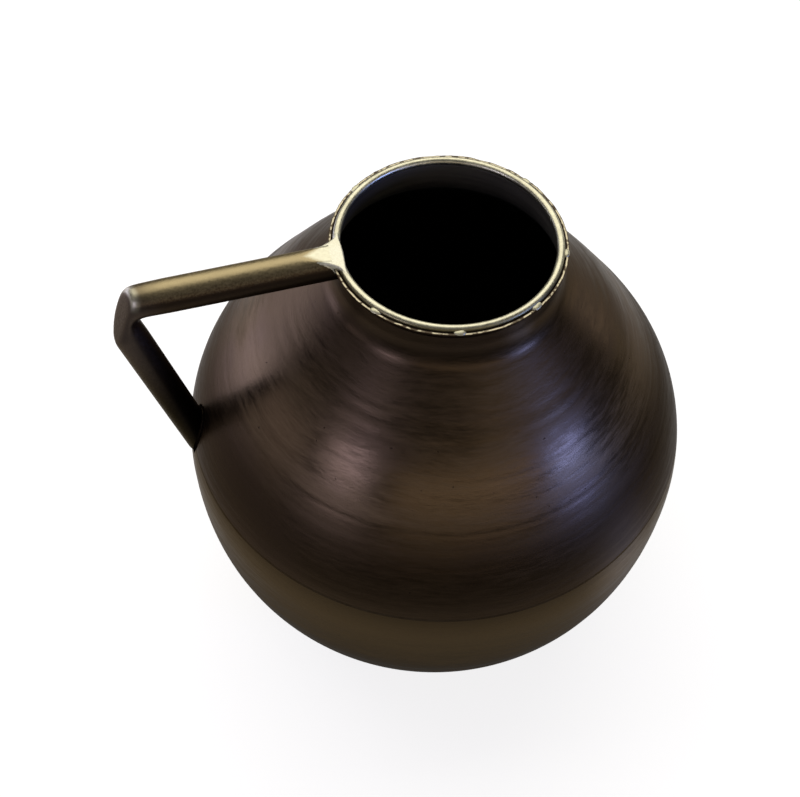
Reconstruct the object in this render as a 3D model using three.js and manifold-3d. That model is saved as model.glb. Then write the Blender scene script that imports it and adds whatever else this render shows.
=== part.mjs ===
// Brass jug vase: a spun bowl and a spun shoulder lapped and soldered into one hollow belly,
// a wire ring soldered into the curled lip, and a round bar handle mitred and brazed at its elbow.
// Millimetres, +Z up. The origin is the centre of the flat bottom and the handle points to -X.
import * as THREE from 'three';
import { mergeVertices } from 'three/addons/utils/BufferGeometryUtils.js';
import Module from 'manifold-3d';

// Sheet and fits
const SHEET = 1; // wall of both spun shells
const FIT = 0.3; // gap between neighbouring pieces

// Belly, outside sizes
const BELLY_RADIUS = 100; // at the widest line
const WIDEST_HEIGHT = 86; // widest line above the floor
const BASE_RADIUS = 50; // edge of the flat bottom
const BOWL_FULLNESS = 2.4; // exponent of the bowl's curve: 2 is an ellipse, more is squarer
const BELLY_ROUND = 74; // arc from the widest line up to the shoulder
const BELLY_TURN = 36; // turn of that arc, degrees
const SHOULDER_TURN = 8; // further turn over the flatter shoulder, degrees
const NECK_SWEEP = 16; // hollow arc from the shoulder into the neck
const NECK_RADIUS = 39.8;
const NECK_LENGTH = 3.3; // straight stretch below the lip

// Lip and rim wire
const LIP_FLARE = 1.5; // lip's edge beyond the neck
const LIP_FILLET = 2; // outside round between the neck and the lip's curl
const WIRE_DIAMETER = 3;

// Lapped seam
const SEAM_RISE = 17; // seam above the widest line
const SEAM_LAP = 6; // tongue of the upper shell inside the lower one
const JOGGLE = 3; // height over which the upper shell steps in to its tongue
const SOLDER_HEIGHT = 1.2; // solder band that shows in the seam
const SOLDER_SINK = 0.2; // its face below the belly's surface

// Handle bar
const BAR_DIAMETER = 12;
const HANDLE_REACH = 16; // where the arms' centrelines would cross, beyond the widest line
const HANDLE_DROP = 9.5; // that crossing below the lip's edge
const FOOT_RISE = 22; // centre of the foot above the widest line
const ELBOW_INSIDE = 2.5; // round of the elbow's inner corner
const ELBOW_FILED = 3.8; // flat filed on the elbow, short of the centrelines' crossing
const FILED_TILT = 20; // how far that flat leans up, degrees
const FILED_TURN = 15; // how far it turns to the front, degrees
const ELBOW_BRAZE = 1; // layer of brass filler in the mitre
const FOOT_FILLET = 1; // filler beyond the bar's side, round the foot
const FOOT_LAYER = 1.5; // height of that filler above the belly

// Brazed and filed pad over the rim
const PAD_COVER = 0.4; // filler over the wire
const PAD_FILED = 0.9; // depth filed off the bar's top at the lip
const PAD_FLARE = 0.8; // pad beyond the bar's side, at the lip
const PAD_TAIL = 6; // from the lip to the point of the pad on the bar
const PAD_DEPTH = 2; // wings below the lip's edge

// Solder tacks between the wire and the lip, angles from +X in degrees
const TACK_ANGLES = [34, 132, 220, 262, 303, 341];
const TACK_LENGTH = 3.8;
const TACK_WIDTH = 2.8;
const TACK_HEIGHT = 1.8;

// Facets: sides of the round pieces, and the steps of curves in degrees
const TURN_SIDES = 56;
const WIRE_SIDES = 8;
const BAR_SIDES = 24;
const ELBOW_SIDES = 32;
const DROP_SIDES = 14;
const BELLY_FACET = 6;
const SHOULDER_FACET = 3;
const ARC_FACET = 12;

// Sizes worked out from those above
const wireRadius = WIRE_DIAMETER / 2;
const barRadius = BAR_DIAMETER / 2;
const bellyTurn = THREE.MathUtils.degToRad(BELLY_TURN);
const lean = THREE.MathUtils.degToRad(BELLY_TURN + SHOULDER_TURN); // shoulder's angle at the neck
const bowlShare = 1 - (BASE_RADIUS / BELLY_RADIUS) ** BOWL_FULLNESS;
const bowlDepth = WIDEST_HEIGHT / bowlShare ** (1 / BOWL_FULLNESS);
const shoulderFootRadius = BELLY_RADIUS - BELLY_ROUND * (1 - Math.cos(bellyTurn));
const shoulderTopRadius = NECK_RADIUS + NECK_SWEEP * (1 - Math.cos(lean));
const shoulderRound = (shoulderFootRadius - shoulderTopRadius) / (Math.cos(bellyTurn) - Math.cos(lean));
const shoulderCentre = {
  radius: shoulderFootRadius - shoulderRound * Math.cos(bellyTurn),
  height: WIDEST_HEIGHT + (BELLY_ROUND - shoulderRound) * Math.sin(bellyTurn),
};
const neckFoot = shoulderCentre.height + (shoulderRound + NECK_SWEEP) * Math.sin(lean);
const neckTop = neckFoot + NECK_LENGTH;
const lipRadius = NECK_RADIUS + LIP_FLARE;
const curlRadius = wireRadius + FIT + SHEET; // outside of the curl, about the wire's centre
const wireRing = lipRadius - curlRadius;
const filletOffset = NECK_RADIUS + LIP_FILLET - wireRing;
const lipRise = Math.sqrt((LIP_FILLET + curlRadius) ** 2 - filletOffset ** 2);
const lipHeight = neckTop + lipRise;
const curlStart = -Math.atan2(lipRise, filletOffset);
const seamHeight = WIDEST_HEIGHT + SEAM_RISE;
const slotHalf = SOLDER_HEIGHT / 2 + FIT;
const padTop = lipHeight + wireRadius + FIT + PAD_COVER;

const wasm = await Module();
wasm.setup();

// Profiles, as points of radius and height

// A point of the belly: angles below zero lie on the bowl, the others on the arc above the widest line
function bellyPoint(angle, out) {
  const rise = Math.sin(Math.abs(angle));
  const across = Math.cos(angle);
  if (angle >= 0) {
    const reach = BELLY_ROUND + out;
    const centre = BELLY_RADIUS - BELLY_ROUND;
    return new THREE.Vector2(centre + reach * across, WIDEST_HEIGHT + reach * rise);
  }
  const power = 2 / BOWL_FULLNESS;
  const point = new THREE.Vector2(BELLY_RADIUS * across ** power, WIDEST_HEIGHT - bowlDepth * rise ** power);
  const normal = new THREE.Vector2(across ** (2 - power) / BELLY_RADIUS, -(rise ** (2 - power)) / bowlDepth);
  return point.addScaledVector(normal.normalize(), out);
}

function bellyAngle(height) {
  const rise = height - WIDEST_HEIGHT;
  if (rise >= 0) return Math.asin(rise / BELLY_ROUND);
  return -Math.asin(Math.min(1, -rise / bowlDepth) ** (BOWL_FULLNESS / 2));
}

function stepsOver(angle, facet) {
  return Math.ceil(Math.abs(THREE.MathUtils.radToDeg(angle)) / facet);
}

// A stretch of the belly, moved out from its surface
function belly(from, to, out) {
  const steps = stepsOver(to - from, BELLY_FACET);
  const stretch = [];
  for (let step = 0; step <= steps; step += 1) {
    stretch.push(bellyPoint(THREE.MathUtils.lerp(from, to, step / steps), out));
  }
  return stretch;
}

function arc(radius, height, round, from, to, facet = ARC_FACET) {
  const curve = new THREE.ArcCurve(radius, height, round, from, to, to < from);
  return curve.getPoints(stepsOver(to - from, facet));
}

function shoulder(out) {
  const { radius, height } = shoulderCentre;
  return arc(radius, height, shoulderRound + out, bellyTurn, lean, SHOULDER_FACET).slice(1, -1);
}

// Belly, shoulder, neck and curled lip, from an angle on the belly to the lip's edge
function upperWall(from, out) {
  return [
    ...belly(from, bellyTurn, out),
    ...shoulder(out),
    ...arc(NECK_RADIUS + NECK_SWEEP, neckFoot, NECK_SWEEP - out, Math.PI + lean, Math.PI),
    ...arc(NECK_RADIUS + LIP_FILLET, neckTop, LIP_FILLET - out, Math.PI, Math.PI + curlStart),
    ...arc(wireRing, lipHeight, curlRadius + out, curlStart, 0).slice(1),
  ];
}

function turned(profile) {
  return new THREE.LatheGeometry(profile, TURN_SIDES).rotateX(Math.PI / 2);
}

function turnedRing(outside, inside) {
  const profile = [...outside, ...inside.reverse()];
  return turned([...profile, profile[0]]);
}

// Spun shells and their seam

function lowerShell() {
  const floor = bellyAngle(0);
  const edge = bellyAngle(seamHeight - slotHalf);
  const wall = (out) => belly(floor, edge, out);
  const inside = wall(-SHEET);
  const bottom = [new THREE.Vector2(0, inside[0].y)];
  return turned([new THREE.Vector2(0, 0), ...wall(0), ...inside.reverse(), ...bottom]);
}

// The lower edge steps in to a tongue that slides inside the lower shell
function upperShell() {
  const tongueFoot = bellyAngle(seamHeight - slotHalf - SEAM_LAP);
  const edge = bellyAngle(seamHeight + slotHalf);
  const joggleTop = bellyAngle(seamHeight + slotHalf + JOGGLE);
  const tongue = (out) => belly(tongueFoot, edge, out);
  const outside = [...tongue(-SHEET - FIT), ...upperWall(edge, 0)];
  const inside = [...tongue(-2 * SHEET - FIT), ...upperWall(joggleTop, -SHEET)];
  return turnedRing(outside, inside);
}

function seamSolder() {
  const foot = bellyAngle(seamHeight - SOLDER_HEIGHT / 2);
  const top = bellyAngle(seamHeight + SOLDER_HEIGHT / 2);
  return turnedRing(belly(foot, top, -SOLDER_SINK), belly(foot, top, -SHEET));
}

function rimWire(round) {
  return new THREE.TorusGeometry(wireRing, round, WIRE_SIDES, TURN_SIDES);
}

// Solids for joining and cutting

function solid(geometry) {
  const plain = geometry.clone();
  plain.deleteAttribute('normal');
  plain.deleteAttribute('uv');
  const merged = mergeVertices(plain);
  const corners = merged.index.array;
  const kept = [];
  for (let at = 0; at < corners.length; at += 3) {
    const [a, b, c] = corners.subarray(at, at + 3);
    if (a !== b && b !== c && c !== a) kept.push(a, b, c);
  }
  const vertProperties = new Float32Array(merged.attributes.position.array);
  return new wasm.Manifold(new wasm.Mesh({ numProp: 3, vertProperties, triVerts: new Uint32Array(kept) }));
}

function geometryOf(body) {
  const mesh = body.getMesh();
  const geometry = new THREE.BufferGeometry();
  geometry.setAttribute('position', new THREE.BufferAttribute(mesh.vertProperties, 3));
  geometry.setIndex(new THREE.BufferAttribute(mesh.triVerts, 1));
  geometry.computeVertexNormals();
  return geometry;
}

// A block that fills the far side of a plane
function beyond(point, normal) {
  const size = 4 * BELLY_RADIUS;
  const block = new THREE.BoxGeometry(size, size, size).translate(0, 0, size / 2);
  block.applyQuaternion(new THREE.Quaternion().setFromUnitVectors(new THREE.Vector3(0, 0, 1), normal));
  return solid(block.translate(...point));
}

// The whole body as one filled solid, moved out from its surface and run up to a level top
function bodyBlank(out, top) {
  const wall = upperWall(bellyAngle(WIDEST_HEIGHT / 2), out);
  const floor = new THREE.Vector2(0, wall[0].y);
  const rim = [new THREE.Vector2(lipRadius + out, top), new THREE.Vector2(0, top)];
  return solid(turned([floor, ...wall, ...rim]));
}

// A straight round bar in the handle's plane
function bar(from, to, radius) {
  const along = to.clone().sub(from);
  const rod = new THREE.CylinderGeometry(radius, radius, along.length(), BAR_SIDES);
  const side = new THREE.Vector3(0, 1, 0);
  const turn = new THREE.Matrix4().makeBasis(side, along.normalize(), side.clone().cross(along));
  return solid(rod.applyMatrix4(turn).translate(...from.clone().lerp(to, 0.5)));
}

// Handle, drawn on its centreline in the plane of X and Z

const inHandlePlane = ({ x, y }) => new THREE.Vector3(-x, 0, y);
const rimEnd = inHandlePlane({ x: lipRadius, y: padTop + PAD_FILED - barRadius });
const corner = inHandlePlane({ x: BELLY_RADIUS + HANDLE_REACH, y: lipHeight - HANDLE_DROP });
const foot = inHandlePlane(bellyPoint(bellyAngle(WIDEST_HEIGHT + FOOT_RISE), 0));
const toRim = rimEnd.clone().sub(corner).normalize();
const toFoot = foot.clone().sub(corner).normalize();
const acrossMitre = toRim.clone().sub(toFoot).normalize();
const outOfElbow = toRim.clone().add(toFoot).normalize().negate();
const elbowRound = barRadius + ELBOW_INSIDE; // bend of the centreline
const halfAngle = toRim.angleTo(toFoot) / 2;
const elbowCentre = corner.clone().addScaledVector(outOfElbow, -elbowRound / Math.sin(halfAngle));
const elbowRun = elbowRound / Math.tan(halfAngle); // from the centrelines' crossing to the elbow's end
const pastEnd = 2 * BAR_DIAMETER; // run past the body's surface before the bar is cut to fit

// A straight arm from the elbow's end, let into the elbow a little, to past the body's surface
function straightArm(end, along, radius) {
  const start = corner.clone().addScaledVector(along, elbowRun - FIT);
  return bar(start, end.clone().addScaledVector(along, pastEnd), radius);
}

function elbow() {
  const ring = new THREE.TorusGeometry(elbowRound, barRadius, BAR_SIDES, ELBOW_SIDES).rotateX(Math.PI / 2);
  return solid(ring.translate(...elbowCentre))
    .subtract(beyond(elbowCentre, toRim))
    .subtract(beyond(elbowCentre, toFoot));
}

// Everything past the flat filed on the elbow's outer corner
function filedAway() {
  const tilt = THREE.MathUtils.degToRad(FILED_TILT);
  const turn = THREE.MathUtils.degToRad(FILED_TURN);
  const facing = new THREE.Vector3().setFromSphericalCoords(1, Math.PI / 2 + turn, tilt - Math.PI / 2);
  return beyond(corner.clone().addScaledVector(facing, -ELBOW_FILED), facing);
}

// Everything past the mitre on one side of it, from a distance short of its plane
function pastMitre(side, short) {
  const point = corner.clone().addScaledVector(acrossMitre, side * short);
  return beyond(point, acrossMitre.clone().multiplyScalar(-side));
}

// A straight arm with its half of the elbow, short of the filler in the mitre
function bentArm(end, along, side) {
  return straightArm(end, along, barRadius)
    .add(elbow())
    .subtract(filedAway())
    .subtract(pastMitre(side, ELBOW_BRAZE / 2 + FIT));
}

function topArm() {
  const filedTop = beyond(new THREE.Vector3(0, 0, padTop), new THREE.Vector3(0, 0, 1));
  return bentArm(rimEnd, toRim, 1).subtract(bodyBlank(FIT, padTop + BAR_DIAMETER)).subtract(filedTop);
}

function lowerArm() {
  return bentArm(foot, toFoot, -1).subtract(bodyBlank(FIT, lipHeight));
}

function elbowBraze() {
  return elbow()
    .subtract(filedAway())
    .subtract(pastMitre(1, -ELBOW_BRAZE / 2))
    .subtract(pastMitre(-1, -ELBOW_BRAZE / 2));
}

// A collar of filler that hugs the belly round the slanting bar
function footBraze() {
  return straightArm(foot, toFoot, barRadius + FOOT_FILLET)
    .intersect(bodyBlank(FOOT_LAYER, lipHeight))
    .subtract(bodyBlank(FIT, lipHeight))
    .subtract(straightArm(foot, toFoot, barRadius + FIT));
}

// Room that filler on the rim leaves for the wire and the lip's edge
function rimRoom() {
  const wire = solid(rimWire(wireRadius + FIT).translate(0, 0, lipHeight));
  return bodyBlank(FIT, lipHeight + FIT).add(wire);
}

// Filler over the lip and the wire, with a wing on each side of the bar, filed level
function rimBraze() {
  const half = barRadius + PAD_FLARE;
  const inner = wireRing - wireRadius;
  const turn = Math.asin(half / inner);
  const outline = new THREE.Shape();
  outline.moveTo(-lipRadius - PAD_TAIL, 0);
  outline.lineTo(-lipRadius, -half);
  outline.absarc(0, 0, inner, Math.PI + turn, Math.PI - turn, true);
  outline.lineTo(-lipRadius, half);
  const height = padTop - lipHeight + PAD_DEPTH;
  const pad = new THREE.ExtrudeGeometry(outline, { depth: height, bevelEnabled: false });
  const armRoom = straightArm(rimEnd, toRim, barRadius + FIT).subtract(bodyBlank(0, padTop + BAR_DIAMETER));
  return solid(pad.translate(0, 0, padTop - height)).subtract(rimRoom()).subtract(armRoom);
}

// A drop of solder that bridges the wire and the lip's edge
function rimTack() {
  const drop = new THREE.SphereGeometry(1, DROP_SIDES, DROP_SIDES / 2);
  drop.scale(TACK_WIDTH / 2, TACK_LENGTH / 2, TACK_HEIGHT / 2);
  const crevice = wireRing + wireRadius + FIT / 2;
  return solid(drop.translate(crevice, 0, lipHeight + TACK_HEIGHT / 2)).subtract(rimRoom());
}

// Finishes

const finish = (color, roughness) => new THREE.MeshStandardMaterial({ color, roughness, metalness: 1 });
const patina = finish('#4a3a2c', 0.42);
const agedBar = finish('#6f5f3d', 0.4);
const polishedWire = finish('#c9c096', 0.25);
const filedBrass = finish('#d9d3ae', 0.3);
const greySolder = finish('#8f897a', 0.45);

// Assembly

const vase = new THREE.Group();
const handle = new THREE.Group();
vase.add(handle);

function piece(parent, name, geometry, material) {
  const mesh = new THREE.Mesh(geometry, material);
  mesh.name = name;
  parent.add(mesh);
  return mesh;
}

piece(vase, 'lower_shell', lowerShell(), patina);
piece(vase, 'upper_shell', upperShell(), patina);
piece(vase, 'seam_solder', seamSolder(), greySolder);
piece(vase, 'rim_wire', rimWire(wireRadius), polishedWire).position.z = lipHeight;
piece(handle, 'handle_top_arm', geometryOf(topArm()), agedBar);
piece(handle, 'handle_lower_arm', geometryOf(lowerArm()), agedBar);
piece(handle, 'elbow_braze', geometryOf(elbowBraze()), agedBar);
piece(handle, 'foot_braze', geometryOf(footBraze()), patina);
piece(handle, 'rim_braze', geometryOf(rimBraze()), filedBrass);
const tackGeometry = geometryOf(rimTack());
TACK_ANGLES.forEach((angle, index) => {
  const tack = piece(vase, `rim_tack_${index + 1}`, tackGeometry, filedBrass);
  tack.rotation.z = THREE.MathUtils.degToRad(angle);
});

export default vase;
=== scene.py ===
# Brass jug vase: smooth spun shells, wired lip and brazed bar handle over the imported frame
import math

import bmesh
import bpy
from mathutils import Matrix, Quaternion, Vector, noise


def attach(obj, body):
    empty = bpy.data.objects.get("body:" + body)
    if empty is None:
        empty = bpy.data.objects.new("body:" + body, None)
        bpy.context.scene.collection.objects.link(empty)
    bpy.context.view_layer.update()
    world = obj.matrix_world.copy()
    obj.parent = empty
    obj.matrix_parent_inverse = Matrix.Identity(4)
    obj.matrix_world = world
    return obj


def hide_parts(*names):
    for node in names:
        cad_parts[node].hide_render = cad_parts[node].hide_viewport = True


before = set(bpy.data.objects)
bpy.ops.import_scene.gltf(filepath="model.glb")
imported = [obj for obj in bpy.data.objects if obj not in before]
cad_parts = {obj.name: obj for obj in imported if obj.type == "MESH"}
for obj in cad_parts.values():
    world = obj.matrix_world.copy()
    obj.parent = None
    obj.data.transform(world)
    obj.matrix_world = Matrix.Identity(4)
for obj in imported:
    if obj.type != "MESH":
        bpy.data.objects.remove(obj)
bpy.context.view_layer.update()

MM = 0.001

# Sizes of the part, in millimetres, as in its solids
SHEET = 1
BELLY_RADIUS = 100
WIDEST_HEIGHT = 86
BASE_RADIUS = 50
BOWL_FULLNESS = 2.4
BELLY_ROUND = 74
BELLY_TURN = math.radians(36)
SHOULDER_LEAN = math.radians(36 + 8)
NECK_SWEEP = 16
NECK_RADIUS = 39.8
NECK_LENGTH = 3.3
LIP_FLARE = 1.5
LIP_FILLET = 2
WIRE_RADIUS = 1.5
WIRE_GAP = 0.3
SEAM_RISE = 17
SEAM_HALF = 0.6
TONGUE = 6
BAR_RADIUS = 6
HANDLE_REACH = 16
HANDLE_DROP = 9.5
FOOT_RISE = 22
ELBOW_ROUND = 8.5
ELBOW_FILED = 3.8
FILED_TILT = math.radians(20)
FILED_TURN = math.radians(15)
MITRE_HALF = 0.5
PAD_COVER = 0.4
PAD_FILED = 0.9
PAD_SPREAD = 15
PAD_BULGE = 1.9
PAD_DEPTH = 2
TACK_ANGLES = (34, 132, 220, 262, 303, 341)

# Sizes worked out from those above
BOWL_DEPTH = WIDEST_HEIGHT / (1 - (BASE_RADIUS / BELLY_RADIUS) ** BOWL_FULLNESS) ** (1 / BOWL_FULLNESS)
TURN_RADIUS = BELLY_RADIUS - BELLY_ROUND * (1 - math.cos(BELLY_TURN))
TURN_HEIGHT = WIDEST_HEIGHT + BELLY_ROUND * math.sin(BELLY_TURN)
SHOULDER_FALL = TURN_RADIUS - NECK_RADIUS - NECK_SWEEP * (1 - math.cos(SHOULDER_LEAN))
SHOULDER_ROUND = SHOULDER_FALL / (math.cos(BELLY_TURN) - math.cos(SHOULDER_LEAN))
SHOULDER_MIDDLE = Vector((
    TURN_RADIUS - SHOULDER_ROUND * math.cos(BELLY_TURN),
    TURN_HEIGHT - SHOULDER_ROUND * math.sin(BELLY_TURN),
))
NECK_FOOT = SHOULDER_MIDDLE.y + (SHOULDER_ROUND + NECK_SWEEP) * math.sin(SHOULDER_LEAN)
NECK_TOP = NECK_FOOT + NECK_LENGTH
LIP_RADIUS = NECK_RADIUS + LIP_FLARE
CURL = WIRE_RADIUS + WIRE_GAP + SHEET
WIRE_RING = LIP_RADIUS - CURL
FILLET_OFFSET = NECK_RADIUS + LIP_FILLET - WIRE_RING
LIP_RISE = math.sqrt((LIP_FILLET + CURL) ** 2 - FILLET_OFFSET ** 2)
LIP_HEIGHT = NECK_TOP + LIP_RISE
CURL_START = -math.atan2(LIP_RISE, FILLET_OFFSET)
SEAM_HEIGHT = WIDEST_HEIGHT + SEAM_RISE
PAD_TOP = LIP_HEIGHT + WIRE_RADIUS + WIRE_GAP + PAD_COVER

# Fineness of the meshes
TURN_STEPS = 200
BELLY_STEP = math.radians(1)
ARC_STEP = math.radians(6)
OUTSIDE_FINER = 3
SHOULDER_FINER = 6
WIRE_STEPS, WIRE_SIDES = 240, 28
BAR_SIDES = 48
BEND_STEPS = 24
BAR_VOXEL, FILLER_VOXEL = 0.4, 0.3
FLANK_STEP, MOUTH_STEP = 0.08, 0.03

# Small fits of the pieces, in millimetres
CUT_GAP = 0.02  # left between the body and what is cut to it
ARM_CLEAR = 6  # how far the cut at the rim goes on above the lip
TONGUE_STEP = 3  # height of the step inside, above the seam
SOLDER_SUNK = 0.06  # how far the solder lies below the sheet
WIRE_DRESSED = 0.03  # taken off the wire by dressing
FLAT_OVER_WIRE = 0.2  # height of the filed flat's end over the wire
PAST_END = 8  # how far the bar runs into the body before it is cut
PAD_OVER = 1  # what stands over on the filler until it is filed off
RIM_STUB_IN, RIM_STUB_OUT = 3, 22  # lengths of bar, on each side of its end, that the filler melts on to
FOOT_STUB_OUT = 34
FOOT_PATCH = 40  # piece of the belly that the filler melts on to
TACK_HALVES = (1.25, 2, 0.75)  # half of a tack outwards, round the rim and upwards
TACK_OUT = 0.1

# Unevenness of handwork, in millimetres
RIDGE_EVEN, RIDGE_UNEVEN, RIDGE_BACK = 0.008, 0.024, 0.04  # the last keeps the ridges inside the solids
RIDGE_TURN, RIDGE_CHANGE = 0.9, 0.35  # radians, and changes, for each millimetre of the profile
LIP_RAGGED = 0.6
LIP_WAVER_UP, LIP_WAVER_OUT, LIP_WAVER_BACK = 0.22, 0.1, 0.05
LIP_BROAD, LIP_FINE, WIRE_BROAD = 9, 30, 6  # changes for each radius of the ring
WIRE_THIN, WIRE_WAVER = 0.985, 0.02  # as shares of its thickness
TACK_LUMP = 0.3
TACK_LUMPS = 420  # for each metre
EDGE_WANDER = 0.5
EDGE_BAND = 0.35

# Shape of the filler at the rim: how sharply its flanks sweep in along the bar and round the rim
PAD_SWEEP, PAD_CURVE = 2.6, 0.9

# Passes that soften the bar, its elbow and the filler
BAR_PASSES, ELBOW_PASSES = 16, 200
RIM_PASSES, FOOT_PASSES = 12, 14
ELBOW_SOFT, ELBOW_FADE = 20, 8  # how far from the elbow's corner it is softened, and the fade, in millimetres

# Heights, in millimetres, of the painted shade on the body and inside it, and of the tones of patina on the
# bar
PALE_SHOULDER = 147  # the palest line, between the belt and the throat
BELT_FULL = 125
BELT_BELOW_SEAM, BELT_ABOVE_SEAM = 15, 11
THROAT_FULL = 160
NECK_FROM, NECK_FULL = 172, 182
INSIDE_BLACK, INSIDE_GREY = 158, 192
BAR_BLACK, BAR_BROWN = 128, 190

# Wear of the handle, in millimetres: where rubbing begins and is full, and the patch filed at the rim
RUBBED_FROM, RUBBED_FULL = -113, -96
PATCH_HALF, PATCH_TAPER = 30.2, 0.63  # half its width at the axis, and what that loses for each one outwards

# Heights and depths of the lines that the spinning tool has left, in millimetres
TOOL_LINES = (
    (105.2, 0.05), (109.6, 0.04), (125, 0.05), (131, 0.03), (135.5, 0.06), (142.5, 0.02),
    (150.5, 0.03), (157, 0.02), (161, 0.02), (165, 0.02), (168.7, 0.02),
)
TOOL_LINE_WIDTH = 0.9

# Crown of the shoulder over its plain curve, as heights and steps outwards in millimetres
SHOULDER_CROWN = (
    (132, 0), (138, 0.05), (146, 0.4), (152, 0.7), (156, 0.78), (160, 0.6),
    (170, -0.1), (178, -0.5), (184, -0.4), (189, 0),
)
CROWN_SHIFTS = range(-3, 4)


# Profiles of the body, as points of radius and height in millimetres

def belly_point(angle, out):
    rise, across = math.sin(abs(angle)), math.cos(angle)
    if angle >= 0:
        reach = BELLY_ROUND + out
        return Vector((BELLY_RADIUS - BELLY_ROUND + reach * across, WIDEST_HEIGHT + reach * rise))
    power = 2 / BOWL_FULLNESS
    point = Vector((BELLY_RADIUS * across ** power, WIDEST_HEIGHT - BOWL_DEPTH * rise ** power))
    normal = Vector((across ** (2 - power) / BELLY_RADIUS, -(rise ** (2 - power)) / BOWL_DEPTH))
    return point + normal.normalized() * out


def belly_angle(height):
    rise = height - WIDEST_HEIGHT
    if rise >= 0:
        return math.asin(rise / BELLY_ROUND)
    return -math.asin(min(1, -rise / BOWL_DEPTH) ** (BOWL_FULLNESS / 2))


def steps_between(start, end, step):
    count = max(1, math.ceil(abs(end - start) / step))
    return [start + (end - start) * k / count for k in range(count + 1)]


def belly(start, end, out, fine=1):
    return [belly_point(angle, out) for angle in steps_between(start, end, BELLY_STEP / fine)]


def arc(radius, height, reach, start, end, step=ARC_STEP):
    return [
        Vector((radius + reach * math.cos(a), height + reach * math.sin(a)))
        for a in steps_between(start, end, step)
    ]


def upper_wall(start, out, fine=1):
    """Wall from an angle on the belly up to the trimmed edge of the lip, set out from the outside."""
    shoulder_step = BELLY_STEP / SHOULDER_FINER / fine
    neck_start = math.pi + SHOULDER_LEAN
    return [
        *belly(start, BELLY_TURN, out, fine),
        *arc(*SHOULDER_MIDDLE, SHOULDER_ROUND + out, BELLY_TURN, SHOULDER_LEAN, shoulder_step)[1:-1],
        *arc(NECK_RADIUS + NECK_SWEEP, NECK_FOOT, NECK_SWEEP - out, neck_start, math.pi, ARC_STEP / 2),
        *arc(NECK_RADIUS + LIP_FILLET, NECK_TOP, LIP_FILLET - out, math.pi, math.pi + CURL_START),
        *arc(WIRE_RING, LIP_HEIGHT, CURL + out, CURL_START, 0)[1:],
    ]


def crown(height):
    """How far the shoulder stands out at a height, on straight lines between the steps of its crown."""
    for (low, here), (high, there) in zip(SHOULDER_CROWN, SHOULDER_CROWN[1:]):
        if low <= height <= high:
            share = (height - low) / (high - low)
            return here + (there - here) * share
    return 0


def tooled(points):
    """A profile with the crown, and the faint ridges and few plain lines that the spinning tool has left.

    The crown is averaged over a few millimetres up and down, which rounds the corners of its steps.
    """
    marked, run = [], 0.0
    for k, point in enumerate(points):
        before, after = points[max(k - 1, 0)], points[min(k + 1, len(points) - 1)]
        run += (point - before).length
        way = (after - before).normalized()
        even = RIDGE_EVEN * math.sin(run * RIDGE_TURN)
        uneven = RIDGE_UNEVEN * noise.noise(Vector((run * RIDGE_CHANGE, 7.3, 1.9)))
        ridge = even + uneven - RIDGE_BACK
        ridge += sum(crown(point.y + shift) for shift in CROWN_SHIFTS) / len(CROWN_SHIFTS)
        for height, depth in TOOL_LINES:
            ridge -= depth * math.exp(-((point.y - height) / TOOL_LINE_WIDTH) ** 2)
        marked.append(point + Vector((way.y, -way.x)) * ridge)
    return marked


# Making pieces

def begin(name, primitive, **settings):
    bpy.ops.object.select_all(action="DESELECT")
    primitive(**settings)
    piece = bpy.context.object
    piece.name = piece.data.name = name
    return piece


def only(piece):
    bpy.ops.object.select_all(action="DESELECT")
    piece.select_set(True)
    bpy.context.view_layer.objects.active = piece


def edit(piece):
    only(piece)
    bpy.ops.object.mode_set(mode="EDIT")
    bpy.ops.mesh.select_all(action="SELECT")


def leave_edit():
    bpy.ops.object.mode_set(mode="OBJECT")


def draw_line(points):
    """In edit mode: one vertex, drawn out point by point."""
    bpy.ops.mesh.merge(type="CENTER")
    bpy.ops.transform.translate(value=points[0])
    for here, there in zip(points, points[1:]):
        bpy.ops.mesh.extrude_region_move(TRANSFORM_OT_translate={"value": there - here})


def close_up():
    """In edit mode: welds the seam and poles of a spun shape and turns its faces outwards."""
    bpy.ops.mesh.select_all(action="SELECT")
    bpy.ops.mesh.remove_doubles(threshold=0.002 * MM)
    bpy.ops.mesh.normals_make_consistent(inside=False)


def spun(name, profile):
    """A profile in millimetres, turned once round the axis."""
    piece = begin(name, bpy.ops.mesh.primitive_plane_add, size=MM)
    edit(piece)
    draw_line([Vector((p.x, 0, p.y)) * MM for p in profile])
    bpy.ops.mesh.select_all(action="SELECT")
    bpy.ops.mesh.spin(steps=TURN_STEPS, angle=math.tau, center=(0, 0, 0), axis=(0, 0, 1))
    close_up()
    leave_edit()
    smooth(piece)
    return piece


def smooth(piece, angle=35):
    only(piece)
    bpy.ops.object.shade_smooth_by_angle(angle=math.radians(angle))


def apply(piece, kind, **settings):
    only(piece)
    modifier = piece.modifiers.new(kind.lower(), kind)
    for key, value in settings.items():
        setattr(modifier, key, value)
    bpy.ops.object.modifier_apply(modifier=modifier.name)


def cut(piece, cutter, operation="DIFFERENCE"):
    apply(piece, "BOOLEAN", object=cutter, operation=operation, solver="EXACT")


def slice_off(piece, point, facing):
    """Cuts away what lies past a plane and closes the cut."""
    edit(piece)
    bpy.ops.mesh.bisect(plane_co=point * MM, plane_no=facing, use_fill=True, clear_outer=True)
    leave_edit()


def soften(piece, voxel, passes):
    """Melts hard edges and joins overlapping shells into one skin."""
    apply(piece, "REMESH", mode="VOXEL", voxel_size=voxel * MM, use_smooth_shade=True)
    apply(piece, "SMOOTH", factor=0.5, iterations=passes)


def copy_of(piece, name):
    only(piece)
    bpy.ops.object.duplicate()
    twin = bpy.context.object
    twin.name = twin.data.name = name
    return twin


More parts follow.
